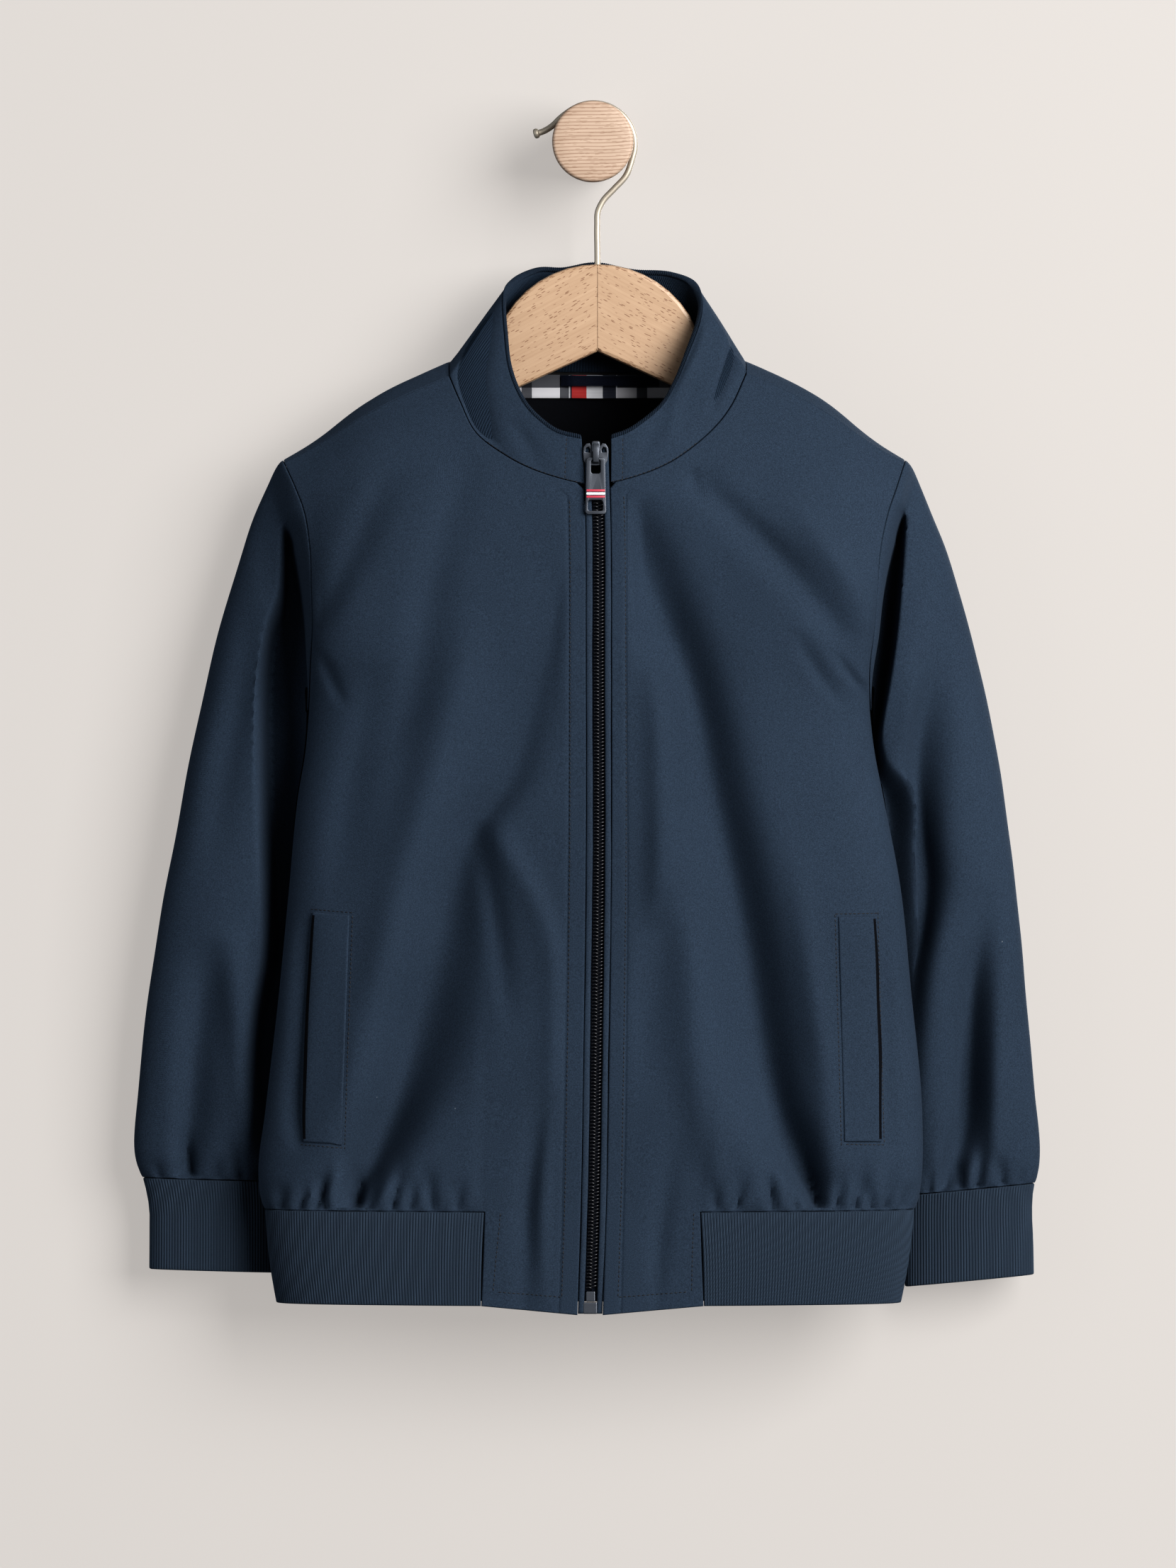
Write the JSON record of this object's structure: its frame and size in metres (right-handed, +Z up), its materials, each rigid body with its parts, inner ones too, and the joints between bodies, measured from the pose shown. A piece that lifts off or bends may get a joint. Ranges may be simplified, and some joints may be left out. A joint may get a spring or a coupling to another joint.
{
  "type": "harrington jacket on a wooden hanger on a wall peg",
  "caption": "Child's navy zip-front harrington jacket with stand collar, rib cuffs and hem, hanging closed on a beech hanger whose wire hook goes over a round wall peg.",
  "frame": {"origin": "centre of the peg's flat back face, which lies on the wall", "axes": "+Z up, +Y into the wall, so the jacket's front faces -Y, and +X to the right as seen from the front"},
  "size_m": [0.4896, 0.0893, 0.6539],
  "materials": {
    "navy_twill": "matt navy twill",
    "navy_rib": "matt navy rib knit",
    "navy_tape": "woven navy tape and coil",
    "check_cotton": "small black, white and grey check cotton",
    "label_satin": "striped satin ribbon",
    "zip_metal": "dark satin metal",
    "champagne_wire": "satin champagne wire",
    "beech": "clear satin varnish",
    "peg_beech": "matt oiled end grain"
  },
  "bodies": {
    "jacket": {"back": "navy_twill", "collar_inner": "navy_rib", "collar_outer": "navy_twill", "cuff_left": "navy_rib", "cuff_right": "navy_rib", "front_left": "navy_twill", "front_right": "navy_twill", "hanger_arm_left": "beech", "hanger_arm_right": "beech", "hanger_hook": "champagne_wire", "hanging_loop": "navy_tape", "hem_rib": "navy_rib", "neck_facing": "check_cotton", "neck_label": "label_satin", "pocket_welt_left": "navy_twill", "pocket_welt_right": "navy_twill", "sleeve_left": "navy_twill", "sleeve_right": "navy_twill", "wall_peg": "peg_beech", "zip_box": "zip_metal", "zip_chain": "navy_tape", "zip_edge_left": "navy_twill", "zip_edge_right": "navy_twill", "zip_pin": "zip_metal", "zip_slider": "zip_metal", "zip_tape_left": "navy_tape", "zip_tape_right": "navy_tape"},
    "pull_tab": {"zip_pull": "zip_metal"}
  },
  "joints": [
    {"name": "pull_tab_hinge", "type": "hinge", "parent": "jacket", "child": "pull_tab", "pos_m": [0.0017, -0.0873, -0.1718], "axis": [-1, 0, 0], "range_deg": [0, 150]}
  ]
}
